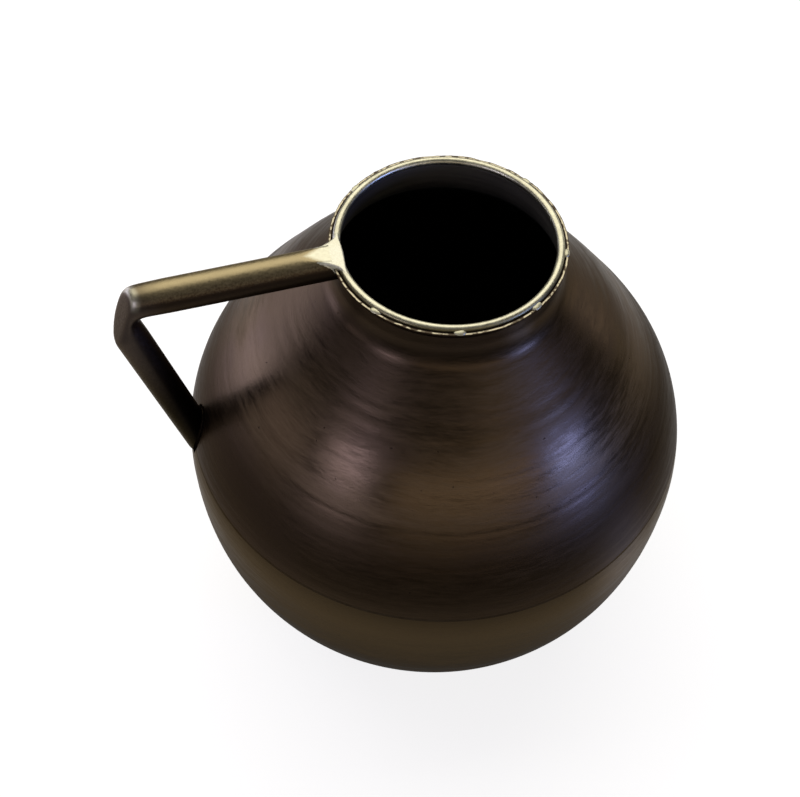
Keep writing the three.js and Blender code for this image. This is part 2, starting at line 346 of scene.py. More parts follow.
def joined(name, pieces):
    twins = [copy_of(piece, name) for piece in pieces]
    for twin in twins:
        twin.select_set(True)
    bpy.ops.object.join()
    whole = bpy.context.object
    whole.name = whole.data.name = name
    return whole


def drop(*pieces):
    for piece in pieces:
        bpy.data.objects.remove(piece)


def keep_largest(piece):
    """Leaves the largest connected shell and deletes the crumbs that a cut has left."""
    edit(piece)
    bm = bmesh.from_edit_mesh(piece.data)
    bm.verts.ensure_lookup_table()
    seen, best = set(), []
    for seed in bm.verts:
        if seed.index in seen:
            continue
        seen.add(seed.index)
        shell, waiting = [], [seed]
        while waiting:
            vert = waiting.pop()
            shell.append(vert)
            for link in vert.link_edges:
                other = link.other_vert(vert)
                if other.index not in seen:
                    seen.add(other.index)
                    waiting.append(other)
        if len(shell) > len(best):
            best = shell
    kept = {vert.index for vert in best}
    for vert in bm.verts:
        vert.select_set(vert.index not in kept)
    bmesh.update_edit_mesh(piece.data)
    bpy.ops.mesh.delete(type="VERT")
    leave_edit()


def bar(name, start, end):
    """A straight round bar between two points in millimetres, left in edit mode, its far end selected."""
    along = (end - start).normalized()
    turn = along.to_track_quat("Z", "Y").to_euler()
    piece = begin(name, bpy.ops.mesh.primitive_circle_add, vertices=BAR_SIDES, radius=BAR_RADIUS * MM,
                  fill_type="NGON", location=start * MM, rotation=turn)
    bpy.ops.object.transform_apply(location=True, rotation=True, scale=True)
    edit(piece)
    bpy.ops.mesh.extrude_region_move(TRANSFORM_OT_translate={"value": (end - start) * MM})
    return piece


# Spun shells, seam and wire

def lower_shell():
    floor, edge = belly_angle(0), belly_angle(SEAM_HEIGHT - SEAM_HALF)
    outside = tooled(belly(floor, edge, 0, OUTSIDE_FINER))
    outside[0] = Vector((BASE_RADIUS, 0))
    inside = belly(floor, edge, -SHEET)
    under, over = Vector((0, 0)), Vector((0, inside[0].y))
    return spun("lower_shell_spun", [under, *outside, *reversed(inside), over])


def upper_shell():
    foot = belly_angle(SEAM_HEIGHT - SEAM_HALF - TONGUE)
    edge = belly_angle(SEAM_HEIGHT + SEAM_HALF)
    step = belly_angle(SEAM_HEIGHT + SEAM_HALF + TONGUE_STEP)
    outside = [*belly(foot, edge, -SHEET - WIRE_GAP), *tooled(upper_wall(edge, 0, OUTSIDE_FINER))]
    inside = [*belly(foot, edge, -2 * SHEET - WIRE_GAP), *upper_wall(step, -SHEET)]
    profile = [*outside, *reversed(inside)]
    piece = spun("upper_shell_spun", [*profile, profile[0]])
    for vert in piece.data.vertices:
        ragged_lip(vert)
    return piece


def ragged_lip(vert):
    """The trimmed edge of the curl wavers by a few tenths of a millimetre."""
    high = vert.co.z / MM - LIP_HEIGHT + LIP_RAGGED
    if high <= 0 or vert.co.xy.length < (WIRE_RING + WIRE_RADIUS) * MM:
        return
    way = vert.co.xy.normalized()
    broad = noise.noise(Vector((way.x * LIP_BROAD, way.y * LIP_BROAD, 3.1)))
    fine = noise.noise(Vector((way.x * LIP_FINE, way.y * LIP_FINE, 8)))
    waver = broad + 0.6 * fine
    vert.co.z += LIP_WAVER_UP * waver * high / LIP_RAGGED * MM
    vert.co.xy += way * (LIP_WAVER_OUT * waver - LIP_WAVER_BACK) * MM


def seam_solder():
    ends = belly_angle(SEAM_HEIGHT - SEAM_HALF), belly_angle(SEAM_HEIGHT + SEAM_HALF)
    profile = [*belly(*ends, -SOLDER_SUNK), *reversed(belly(*ends, -SHEET))]
    return spun("seam_solder_line", [*profile, profile[0]])


def wire_ring(name, radius):
    piece = begin(name, bpy.ops.mesh.primitive_torus_add, major_radius=WIRE_RING * MM,
                  minor_radius=radius * MM, major_segments=WIRE_STEPS, minor_segments=WIRE_SIDES,
                  location=(0, 0, LIP_HEIGHT * MM))
    bpy.ops.object.transform_apply(location=True, rotation=True, scale=True)
    return piece


def rim_wire():
    """Wire dressed by hand: its thickness wavers a little round the ring."""
    piece = wire_ring("rim_wire_ring", WIRE_RADIUS - WIRE_DRESSED)
    for vert in piece.data.vertices:
        way = vert.co.xy.normalized()
        core = Vector((way.x * WIRE_RING, way.y * WIRE_RING, LIP_HEIGHT)) * MM
        spot = Vector((way.x * WIRE_BROAD, way.y * WIRE_BROAD, 0.4))
        vert.co = core + (vert.co - core) * (WIRE_THIN + WIRE_WAVER * noise.noise(spot))
    smooth(piece, 60)
    return piece


def body_blank(name, out, above=0):
    """The body as one filled solid, for cutting the handle's ends to its surface."""
    wall = upper_wall(belly_angle(WIDEST_HEIGHT / 2), out)
    floor, top = Vector((0, wall[0].y)), wall[-1] + Vector((0, above))
    return spun(name, [floor, *wall, top, Vector((0, top.y))])


# Handle

def in_handle_plane(point):
    return Vector((-point.x, 0, point.y))


RIM_END = in_handle_plane(Vector((LIP_RADIUS, PAD_TOP + PAD_FILED - BAR_RADIUS)))
CROSSING = in_handle_plane(Vector((BELLY_RADIUS + HANDLE_REACH, LIP_HEIGHT - HANDLE_DROP)))
FOOT = in_handle_plane(belly_point(belly_angle(WIDEST_HEIGHT + FOOT_RISE), 0))
TO_RIM = (RIM_END - CROSSING).normalized()
TO_FOOT = (FOOT - CROSSING).normalized()
ACROSS_MITRE = (TO_RIM - TO_FOOT).normalized()
HALF_ANGLE = TO_RIM.angle(TO_FOOT) / 2
ELBOW_CENTRE = CROSSING + (TO_RIM + TO_FOOT).normalized() * (ELBOW_ROUND / math.sin(HALF_ANGLE))
ELBOW_RUN = ELBOW_ROUND / math.tan(HALF_ANGLE)
FLAT_TIP = Vector((-LIP_RADIUS - PAD_FILED / TO_RIM.z, 0, PAD_TOP))
FLAT_END = Vector((-WIRE_RING, 0, LIP_HEIGHT + WIRE_RADIUS + FLAT_OVER_WIRE))
FLAT_FACING = Vector((FLAT_TIP.z - FLAT_END.z, 0, FLAT_END.x - FLAT_TIP.x)).normalized()


def bent_bar():
    """The whole handle as one bar: straight to the elbow, round it, and down to the foot, then filed."""
    start = RIM_END + TO_RIM * PAST_END
    piece = bar("handle_bar", start, CROSSING + TO_RIM * ELBOW_RUN)
    bend = math.pi - 2 * HALF_ANGLE
    bpy.ops.mesh.spin(steps=BEND_STEPS, angle=bend, center=ELBOW_CENTRE * MM, axis=(0, 1, 0))
    run = FOOT + TO_FOOT * PAST_END - (CROSSING + TO_FOOT * ELBOW_RUN)
    bpy.ops.mesh.extrude_region_move(TRANSFORM_OT_translate={"value": run * MM})
    close_up()
    leave_edit()
    slice_off(piece, CROSSING - filed_facing() * ELBOW_FILED, filed_facing())
    slice_off(piece, FLAT_TIP, FLAT_FACING)
    soften(piece, BAR_VOXEL, BAR_PASSES)
    near = piece.vertex_groups.new(name="elbow")
    for vert in piece.data.vertices:
        off = (vert.co / MM - CROSSING).length
        near.add([vert.index], min(1, max(0, (ELBOW_SOFT - off) / ELBOW_FADE)), "REPLACE")
    apply(piece, "SMOOTH", factor=0.5, iterations=ELBOW_PASSES, vertex_group="elbow")
    piece.vertex_groups.clear()
    return piece


def filed_facing():
    """The way that the flat on the elbow faces: outwards, leaning up and turned to the front."""
    level = math.cos(FILED_TURN)
    return Vector((-math.cos(FILED_TILT) * level, -math.sin(FILED_TURN), math.sin(FILED_TILT) * level))


def split_handle(whole, blank):
    """Parts the bar at its mitre into the top arm, the layer of filler and the lower arm."""
    top = copy_of(whole, "handle_top_arm_bar")
    slice_off(top, CROSSING + ACROSS_MITRE * MITRE_HALF, -ACROSS_MITRE)
    layer = copy_of(whole, "elbow_braze_layer")
    slice_off(layer, CROSSING + ACROSS_MITRE * MITRE_HALF, ACROSS_MITRE)
    slice_off(layer, CROSSING - ACROSS_MITRE * MITRE_HALF, -ACROSS_MITRE)
    lower = copy_of(whole, "handle_lower_arm_bar")
    slice_off(lower, CROSSING - ACROSS_MITRE * MITRE_HALF, ACROSS_MITRE)
    for arm in (top, lower):
        cut(arm, blank)
        keep_largest(arm)
        smooth(arm, 40)
    smooth(layer, 40)
    return top, layer, lower


def filler(name, solids, cutters, passes):
    """Brass filler: what lies between the melted outline of some solids and the solids themselves."""
    piece = joined(name, solids)
    soften(piece, FILLER_VOXEL, passes)
    for cutter in cutters:
        cut(piece, cutter)
    keep_largest(piece)
    smooth(piece, 50)
    return piece


def pad_block():
    """Puddle of filler between the bar and the bead: its flanks sweep in to a point along the bar."""
    piece = begin("pad_block", bpy.ops.mesh.primitive_plane_add, size=MM)
    spread = math.radians(PAD_SPREAD)
    flank = []
    for t in steps_between(0, 1, FLANK_STEP):
        reach = WIRE_RING + (-FLAT_TIP.x - WIRE_RING + PAD_OVER) * (1 - t) ** PAD_SWEEP
        turn = spread * t ** PAD_CURVE
        flank.append(Vector((-math.cos(turn), -math.sin(turn))) * reach)
    mouth = [
        Vector((-math.cos(a), -math.sin(a))) * (WIRE_RING - PAD_BULGE * math.cos(a / spread * math.pi / 2))
        for a in steps_between(spread, -spread, MOUTH_STEP)
    ]
    other = [Vector((p.x, -p.y)) for p in reversed(flank)]
    low, high = LIP_HEIGHT - PAD_DEPTH, PAD_TOP + PAD_OVER
    edit(piece)
    draw_line([Vector((p.x, p.y, low)) * MM for p in [*flank, *mouth[1:-1], *other[:-1]]])
    bpy.ops.mesh.select_all(action="SELECT")
    bpy.ops.mesh.edge_face_add()
    bpy.ops.mesh.extrude_region_move(TRANSFORM_OT_translate={"value": (0, 0, (high - low) * MM)})
    close_up()
    leave_edit()
    slice_off(piece, FLAT_TIP, FLAT_FACING)
    return piece


def rim_braze(blank, arm_blank):
    stub = bar("bar_stub", RIM_END + TO_RIM * RIM_STUB_IN, RIM_END - TO_RIM * RIM_STUB_OUT)
    close_up()
    leave_edit()
    arm = copy_of(stub, "arm_room")
    cut(arm, arm_blank)
    slice_off(stub, FLAT_TIP, FLAT_FACING)
    bead, block = wire_ring("bead_core", WIRE_RADIUS), pad_block()
    piece = filler("rim_braze_pad", [stub, bead, block], [bead, arm, blank], RIM_PASSES)
    slice_off(piece, Vector((0, 0, PAD_TOP)), Vector((0, 0, 1)))
    drop(stub, bead, block, arm)
    return piece


def foot_braze(blank):
    stub = bar("foot_stub", FOOT - TO_FOOT * FOOT_STUB_OUT, FOOT + TO_FOOT * PAST_END)
    close_up()
    leave_edit()
    patch = begin("belly_patch", bpy.ops.mesh.primitive_cube_add, size=FOOT_PATCH * MM, location=FOOT * MM)
    bpy.ops.object.transform_apply(location=True, rotation=True, scale=True)
    cut(patch, blank, "INTERSECT")
    piece = filler("foot_braze_collar", [stub, patch], [stub, blank], FOOT_PASSES)
    drop(stub, patch)
    return piece


def rim_tack():
    """A drop of solder that has run across the crevice between the wire and the lip."""
    piece = begin("tack_drop", bpy.ops.mesh.primitive_ico_sphere_add, subdivisions=4, radius=MM)
    edit(piece)
    bpy.ops.transform.resize(value=TACK_HALVES)
    bpy.ops.transform.translate(value=Vector((WIRE_RING + WIRE_RADIUS + TACK_OUT, 0, LIP_HEIGHT)) * MM)
    leave_edit()
    return piece


def placed_tack(model, number, angle):
    """A copy of the drop at its angle on the rim, lumpy in its own way."""
    piece = copy_of(model, f"rim_tack_{number}_drop")
    edit(piece)
    bpy.ops.transform.rotate(value=-math.radians(angle), orient_axis="Z", center_override=(0, 0, 0))
    leave_edit()
    for vert in piece.data.vertices:
        spot = vert.co * TACK_LUMPS + Vector((number * 3.7, 0, 0))
        vert.co += vert.normal * (TACK_LUMP * noise.noise(spot)) * MM
    smooth(piece, 60)
    return piece


# Materials

# Settings of the blending nodes, and the sockets of a Mix node that blends colours
SOFT = {"interpolation_type": "SMOOTHSTEP"}
COLOURS = {"data_type": "RGBA"}
FACTOR, A, B, RESULT = 0, 6, 7, 2


def linear(code):
    """A linear colour from an sRGB hex value."""
    parts = [int(code[k:k + 2], 16) / 255 for k in (1, 3, 5)]
    return (*(c / 12.92 if c <= 0.04045 else ((c + 0.055) / 1.055) ** 2.4 for c in parts), 1)


def add(tree, kind, inputs=(), **settings):
    """Adds a node with its settings, links or sets its inputs, by key or in order, and gives its outputs."""
    made = tree.nodes.new("ShaderNode" + kind)
    for key, value in settings.items():
        setattr(made, key, value)
    for key, value in inputs.items() if isinstance(inputs, dict) else enumerate(inputs):
        if isinstance(value, bpy.types.NodeSocket):
            tree.links.new(value, made.inputs[key])
        else:
            made.inputs[key].default_value = value
    return made.outputs


def new_material(name):
    made = bpy.data.materials.new(name)
    made.use_nodes = True
    made.node_tree.nodes.clear()
    return made, made.node_tree, add(made.node_tree, "TexCoord")["Object"]


def grain(tree, place, across, along, detail=3):
    """Marks that are so many millimetres long across the axis of the vase and along it."""
    per_metre = (1 / (across * MM), 1 / (across * MM), 1 / (along * MM))
    fit = add(tree, "Mapping", {"Vector": place, "Scale": per_metre})[0]
    return add(tree, "TexNoise", {"Vector": fit, "Scale": 1, "Detail": detail})[0]


def from_axis(tree, place):
    """Distance from the axis of the vase."""
    level = add(tree, "VectorMath", (place, (1, 1, 0)), operation="MULTIPLY")[0]
    return add(tree, "VectorMath", (level,), operation="LENGTH")["Value"]


def patinated_brass(name, dark, light, tint, shade, glance):
    """Spun brass with a brown chemical patina, rubbed down along its turning and thinly waxed.

    That gives a satin metal with short marks, rings and cloudy tints, and small black pits. A painted shade
    darkens a broad belt about the seam and again the throat and neck towards the lip, standing in for the
    dark surroundings that those bands reflect. Real rubbing marks are about 0.1 mm wide, which is too fine to
    show, so they are drawn 0.6 mm wide and more.
    """
    made, tree, place = new_material(name)
    uneven = grain(tree, place, 35, 35, 2)
    drift = add(tree, "Math", (uneven, 6 * MM), operation="MULTIPLY")[0]
    sideways = add(tree, "CombineXYZ", {"Z": drift})[0]
    turned = add(tree, "VectorMath", (place, sideways), operation="ADD")[0]
    fine, coarse = grain(tree, turned, 5, 0.6, 4), grain(tree, turned, 13, 1.3)
    marks = add(tree, "Math", (fine, coarse), operation="ADD")[0]
    rings = grain(tree, turned, 160, 4.5)
    worked = add(tree, "Math", (marks, rings), operation="ADD")[0]

    # Painted shade by height, for the dark surroundings that these bands reflect: the belt between the seam
    # and the shoulder, the throat and the neck
    height = add(tree, "SeparateXYZ", (place,))["Z"]
    low, high = (SEAM_HEIGHT - BELT_BELOW_SEAM) * MM, (SEAM_HEIGHT + BELT_ABOVE_SEAM) * MM
    seam = add(tree, "MapRange", (height, low, high, 0.4, 1), **SOFT)[0]
    shoulder = add(tree, "MapRange", (height, PALE_SHOULDER * MM, BELT_FULL * MM, 0, 0.78), **SOFT)[0]
    belt = add(tree, "Math", (shoulder, seam), operation="MULTIPLY")[0]
    throat = add(tree, "MapRange", (height, PALE_SHOULDER * MM, THROAT_FULL * MM, 0, 0.43), **SOFT)[0]
    neck = add(tree, "MapRange", (height, NECK_FROM * MM, NECK_FULL * MM, 0, 0.2), **SOFT)[0]
    top = add(tree, "Math", (neck, throat), operation="ADD")[0]
    painted_shade = add(tree, "Math", (belt, top), operation="MAXIMUM")[0]

    streaks = add(tree, "MapRange", (worked, 0.6, 2.4, 0, 1), **SOFT)[0]
    brown = add(tree, "Mix", {FACTOR: streaks, A: linear(dark), B: linear(light)}, **COLOURS)[RESULT]
    clouds = add(tree, "MapRange", (grain(tree, place, 55, 30, 2), 0.42, 0.7, 0, 1), **SOFT)[0]
    cloudy = add(tree, "Mix", {FACTOR: clouds, A: brown, B: linear(tint)}, **COLOURS)[RESULT]
    # Painted shade mixed in over the belt, the throat and the neck
    with_painted_shade = add(tree, "Mix", {FACTOR: painted_shade, A: cloudy, B: linear(shade)}, **COLOURS)[RESULT]
    pits = add(tree, "MapRange", (grain(tree, place, 1.8, 1.4, 1), 0.235, 0.175, 0, 0.75), **SOFT)[0]
    colour = add(tree, "Mix", {FACTOR: pits, A: with_painted_shade, B: linear("#0f0a06")}, **COLOURS)[RESULT]

    satin = add(tree, "MapRange", (worked, 1.15, 1.85, 0.28, 0.42), **SOFT)[0]
    roughness = add(tree, "Math", (belt, 0.12, satin), operation="MULTIPLY_ADD")[0]
    dents, scuffs = grain(tree, place, 4, 2.4, 2), grain(tree, turned, 2.2, 0.7, 2)
    knocks = add(tree, "Math", (dents, scuffs), operation="ADD")[0]
    relief = add(tree, "Math", (marks, knocks), operation="ADD")[0]
    pitted = add(tree, "Math", (pits, -4, relief), operation="MULTIPLY_ADD")[0]
    bump = add(tree, "Bump", {"Height": pitted, "Strength": 0.28, "Distance": 0.08 * MM})[0]
    shader = add(tree, "BsdfPrincipled", {
        "Base Color": colour, "Roughness": roughness, "Normal": bump, "Metallic": 1,
        "Coat Weight": 0.02, "Coat Roughness": 0.3, "Specular Tint": linear(glance),
    })[0]
    add(tree, "OutputMaterial", {"Surface": shader})
    return made


def bar_brass(name, patina, elbow, gold, black, filed):
    """Drawn brass bar with a brown patina that hands have rubbed to speckled gold on top.
    The gold follows the upper faces, so it is also a painted highlight of the light from above.

    It is blackened down the lower arm, has a painted highlight along the crest of the elbow and is filed
    bright at the rim.
    Real specks are finer than 0.7 mm, and are drawn at that size so that they show.
    """
    made, tree, place = new_material(name)
    specks, clouds = grain(tree, place, 0.7, 0.7, 4), grain(tree, place, 9, 6)
    spot = add(tree, "SeparateXYZ", (place,))
    facing = add(tree, "TexCoord")["Normal"]
    upward = add(tree, "SeparateXYZ", (facing,))["Z"]

    # Gold specks on the upper faces, partly rubbed wear and partly a painted highlight, fewer at the elbow,
    # and black below
    top_for_wear_and_light = add(tree, "Math", (specks, 0.45, upward), operation="MULTIPLY_ADD")[0]
    worn_and_lit_top = add(tree, "MapRange", (top_for_wear_and_light, 0.6, 1.36, 0, 1), **SOFT)[0]
    rubbed = add(tree, "MapRange", (spot["X"], RUBBED_FROM * MM, RUBBED_FULL * MM, 0.15, 1), **SOFT)[0]
    worn_and_lit_share = add(tree, "Math", (worn_and_lit_top, rubbed), operation="MULTIPLY")[0]
    brown = add(tree, "Mix", {FACTOR: rubbed, A: linear(elbow), B: linear(patina)}, **COLOURS)[RESULT]
    worn = add(tree, "Mix", {FACTOR: worn_and_lit_share, A: brown, B: linear(gold)}, **COLOURS)[RESULT]
    cloudy = add(tree, "Math", (clouds, 6 * MM, spot["Z"]), operation="MULTIPLY_ADD")[0]
    browned = add(tree, "MapRange", (cloudy, BAR_BLACK * MM, BAR_BROWN * MM, 0, 1), **SOFT)[0]
    aged = add(tree, "Mix", {FACTOR: browned, A: linear(black), B: worn}, **COLOURS)[RESULT]

    # Painted highlight on the upper half of the elbow's crest, just behind the edge of its filed flat
    plane = CROSSING.dot(filed_facing()) - ELBOW_FILED
    behind = add(tree, "VectorMath", (place, filed_facing()), operation="DOT_PRODUCT")["Value"]
    band = add(tree, "MapRange", (behind, (plane - 3.4) * MM, (plane - 1) * MM, 0, 0.6), **SOFT)[0]
    edge = add(tree, "MapRange", (behind, (plane - 0.1) * MM, (plane - 0.6) * MM, 0, 1), **SOFT)[0]
    upper = add(tree, "MapRange", (spot["Z"], CROSSING.z * MM, (CROSSING.z + 5) * MM, 0, 1), **SOFT)[0]
    crest_highlight_strip = add(tree, "Math", (band, edge), operation="MULTIPLY")[0]
    crest = add(tree, "Math", (crest_highlight_strip, upper), operation="MULTIPLY")[0]
    # The crest's painted highlight is drawn in the filed colour
    with_crest_highlight = add(tree, "Mix", {FACTOR: crest, A: aged, B: linear(filed)}, **COLOURS)[RESULT]

    # Filed patch on the flat at the rim, narrowing outwards with a ragged edge
    flat = FLAT_TIP.dot(FLAT_FACING)
    over = add(tree, "VectorMath", (place, FLAT_FACING), operation="DOT_PRODUCT")["Value"]
    level = add(tree, "MapRange", (over, (flat - 0.4) * MM, (flat - 0.07) * MM, 0, 1), **SOFT)[0]
    side = add(tree, "Math", (spot["Y"],), operation="ABSOLUTE")[0]
    half = add(tree, "Math", (spot["X"], PATCH_TAPER, PATCH_HALF * MM), operation="MULTIPLY_ADD")[0]
    inside = add(tree, "Math", (half, side), operation="SUBTRACT")[0]
    ragged = add(tree, "Math", (specks, 1.6 * MM, inside), operation="MULTIPLY_ADD")[0]
    patch = add(tree, "MapRange", (ragged, -1.4 * MM, MM, 0, 1), **SOFT)[0]
    bright = add(tree, "Math", (level, patch), operation="MULTIPLY")[0]
    colour = add(tree, "Mix", {FACTOR: bright, A: with_crest_highlight, B: linear(filed)}, **COLOURS)[RESULT]

    satin = add(tree, "MapRange", (specks, 0.3, 0.7, 0.34, 0.5), **SOFT)[0]
    bump = add(tree, "Bump", {"Height": specks, "Strength": 0.25, "Distance": 0.08 * MM})[0]
    shader = add(tree, "BsdfPrincipled", {
        "Base Color": colour, "Roughness": satin, "Normal": bump, "Metallic": 1,
        "Specular Tint": linear("#cac5bc"),
    })[0]
    add(tree, "OutputMaterial", {"Surface": shader})
    return made


def bare_brass(name, dark, light, low, high, glance="#ffffff", crevice_shade=None):
    """Brass wire, filler and solder dressed by hand with file and cloth: satin metal with small stains.

    Its roughness runs from low to high, and is higher where it was blackened with the body. The wire gets
    a painted shade on its outer side, towards the crevice at the lip. Real stains are finer than 0.6 mm,
    and are drawn at that size so that they show.
    """
    made, tree, place = new_material(name)
    stains, clouds = grain(tree, place, 0.6, 0.6, 4), grain(tree, place, 7, 7)
    both = add(tree, "Math", (stains, clouds), operation="ADD")[0]
    clean = add(tree, "MapRange", (both, 0.75, 1.25, 0, 1), **SOFT)[0]
    colour = add(tree, "Mix", {FACTOR: clean, A: linear(dark), B: linear(light)}, **COLOURS)[RESULT]
    if crevice_shade:
        # Painted shade on the wire's outer side, towards the crevice at the lip
        away = from_axis(tree, place)
        cloth, crevice = (WIRE_RING + 0.5) * MM, (WIRE_RING + 1.3) * MM
        crevice_shade_share = add(tree, "MapRange", (away, cloth, crevice, 0, 1), **SOFT)[0]
        colour = add(tree, "Mix", {FACTOR: crevice_shade_share, A: colour, B: linear(crevice_shade)}, **COLOURS)[RESULT]
    satin = add(tree, "MapRange", (both, 0.7, 1.3, low, high), **SOFT)[0]
    bump = add(tree, "Bump", {"Height": both, "Strength": 0.2, "Distance": 0.05 * MM})[0]
    shader = add(tree, "BsdfPrincipled", {
        "Base Color": colour, "Roughness": satin, "Normal": bump, "Metallic": 1,
        "Specular Tint": linear(glance),
    })[0]
    add(tree, "OutputMaterial", {"Surface": shader})
    return made


def worn_edge(name, bare, patina):
    """Trimmed edge of the sheet: a thin, broken line of bare brass between two patinated corners."""
    made, tree, place = new_material(name)
    away, wander = from_axis(tree, place), grain(tree, place, 3, 3)
    across = add(tree, "Math", (wander, EDGE_WANDER * MM, away), operation="MULTIPLY_ADD")[0]
    middle = LIP_RADIUS - SHEET / 2 + EDGE_WANDER / 2
    inner = add(tree, "MapRange", (across, (middle - 0.4) * MM, (middle - 0.2) * MM, 0, 1), **SOFT)[0]
    outer = add(tree, "MapRange", (across, (middle + 0.1) * MM, (middle + 0.35) * MM, 1, 0), **SOFT)[0]
    line = add(tree, "Math", (inner, outer), operation="MULTIPLY")[0]
    rubbed = add(tree, "MapRange", (grain(tree, place, 2.2, 2.2), 0.4, 0.54, 0.12, 1), **SOFT)[0]
    broken = add(tree, "Math", (line, rubbed), operation="MULTIPLY")[0]
    colour = add(tree, "Mix", {FACTOR: broken, A: linear(patina), B: linear(bare)}, **COLOURS)[RESULT]
    satin = add(tree, "MapRange", (broken, 0, 1, 0.5, 0.38), **SOFT)[0]
    shader = add(tree, "BsdfPrincipled", {
        "Base Color": colour, "Roughness": satin, "Metallic": 1, "Specular Tint": linear("#b4aca0"),
    })[0]
    add(tree, "OutputMaterial", {"Surface": shader})
    return made


def dull_inside(name, dark, light):
    """Brass left as spun and oxidised inside: a dull skin that scatters light, with painted shade that
    blackens it deeper in.
    """
    made, tree, place = new_material(name)
    rings, clouds = grain(tree, place, 30, 1.5), grain(tree, place, 40, 25)
    both = add(tree, "Math", (rings, clouds), operation="ADD")[0]
    paler = add(tree, "MapRange", (both, 0.7, 1.3, 0, 1), **SOFT)[0]
    grey = add(tree, "Mix", {FACTOR: paler, A: linear(dark), B: linear(light)}, **COLOURS)[RESULT]
    # Painted shade: black deep inside, turning grey towards the lip
    height = add(tree, "SeparateXYZ", (place,))["Z"]
    near_lip = add(tree, "MapRange", (height, INSIDE_BLACK * MM, INSIDE_GREY * MM, 0, 1), **SOFT)[0]
    colour = add(tree, "Mix", {FACTOR: near_lip, A: linear("#060606"), B: grey}, **COLOURS)[RESULT]
    dull = add(tree, "MapRange", (both, 0.7, 1.3, 0.55, 0.7), **SOFT)[0]
    shader = add(tree, "BsdfPrincipled", {"Base Color": colour, "Roughness": dull, "Metallic": 0.1})[0]
    add(tree, "OutputMaterial", {"Surface": shader})
    return made


# Studio, in metres

LAMP_AIM = Vector((0, 0, 0.11))
WORLD_LEVEL = 0.16
FLOOR_SIZE = 16
# Painted light on the floor, as the brass sees it: the pale middle, its painted falloff, the painted shadow
# by the vase and the painted pool of daylight
PALE_MIDDLE = (0.04, 0.26, 0)
PALE_REACH, GREY_REACH = 0.28, 0.76
SHADE_REACH, CLEAR_REACH = 0.1, 0.15
SOFT_SHADOW_REACH, WHITE_REACH = 0.5, 2
POOL_PLACE, POOL_HALVES, POOL_TURN = (0.25, -0.165, 0), (0.22, 0.07, 1), math.radians(-28)


def softbox(name, place, size, glow, tint):
    """A flat lamp at a place, facing the vase, of a given brightness."""
    lamp = bpy.data.lights.new(name, "AREA")
    lamp.shape, lamp.size, lamp.size_y = "RECTANGLE", *size
    lamp.energy = math.pi * size[0] * size[1] * glow
    lamp.color = linear(tint)[:3]
    holder = bpy.data.objects.new(name, lamp)
    holder.location = place
    holder.visible_camera = False
    holder.rotation_euler = (LAMP_AIM - place).to_track_quat("-Z", "Y").to_euler()
    bpy.context.collection.objects.link(holder)


def toward(azimuth, elevation, distance):
    """The place at two angles, in degrees, and a distance from the vase. Azimuth 0 is in front."""
    a, e = math.radians(azimuth), math.radians(elevation)
    way = Vector((math.sin(a) * math.cos(e), -math.cos(a) * math.cos(e), math.sin(e)))
    return LAMP_AIM + way * distance


def studio_floor():
    """Plain pale floor that keeps the soft shadow of the vase.

    The brass sees it with a painted shadow close to the vase, a painted falloff of light further out and a
    painted pool of daylight below the right window. Rays that show the floor get part of its brightness as
    its own, so that it is white beside the shadow. Far from the vase, camera rays get all of it.
    """
    floor = begin("floor", bpy.ops.mesh.primitive_plane_add, size=FLOOR_SIZE)
    made, tree, place = new_material("pale studio floor")
    path, away, pale = add(tree, "LightPath"), from_axis(tree, place), linear("#f6f5f3")

    # Painted falloff of light further out and painted shadow close to the vase, except to the camera
    off = add(tree, "VectorMath", (place, PALE_MIDDLE), operation="DISTANCE")["Value"]
    outward = add(tree, "MapRange", (off, PALE_REACH, GREY_REACH, 0, 1), **SOFT)[0]
    with_painted_falloff = add(tree, "Mix", {FACTOR: outward, A: pale, B: linear("#6a6a6a")}, **COLOURS)[RESULT]
    clear = add(tree, "MapRange", (away, SHADE_REACH, CLEAR_REACH, 0, 1), **SOFT)[0]
    with_painted_shadow = add(tree, "Mix", {FACTOR: clear, A: linear("#8a8a8a"), B: with_painted_falloff}, **COLOURS)[RESULT]
    colour = add(tree, "Mix", {FACTOR: path["Is Camera Ray"], A: with_painted_shadow, B: pale}, **COLOURS)[RESULT]

    pool_fit = {"Vector": place, "Location": POOL_PLACE, "Rotation": (0, 0, POOL_TURN), "Scale": POOL_HALVES}
    beside = add(tree, "Mapping", pool_fit, vector_type="TEXTURE")[0]
    off_pool = add(tree, "VectorMath", (beside,), operation="LENGTH")["Value"]
    pool = add(tree, "MapRange", (off_pool, 1, 0.2, 0, 1), **SOFT)[0]
    lit = add(tree, "Math", (pool, path["Is Glossy Ray"]), operation="MULTIPLY")[0]
    daylight = add(tree, "Mix", {FACTOR: lit, A: colour, B: linear("#8fabff")}, **COLOURS)[RESULT]
    strength = add(tree, "MapRange", (lit, 0, 1, 1.25, 10), **SOFT)[0]

    own = 0.0
    white = add(tree, "MapRange", (away, SOFT_SHADOW_REACH, WHITE_REACH, 0.7, 1), **SOFT)[0]
    for kind, part in (("Is Camera Ray", white), ("Is Glossy Ray", 0.5), ("Is Transmission Ray", 0.5)):
        own = add(tree, "Math", (path[kind], part, own), operation="MULTIPLY_ADD")[0]
    plain = add(tree, "BsdfDiffuse", {"Color": colour})[0]
    glow = add(tree, "Emission", {"Color": daylight, "Strength": strength})[0]
    shader = add(tree, "MixShader", (own, plain, glow))[0]
    add(tree, "OutputMaterial", {"Surface": shader})
    floor.data.materials.append(made)


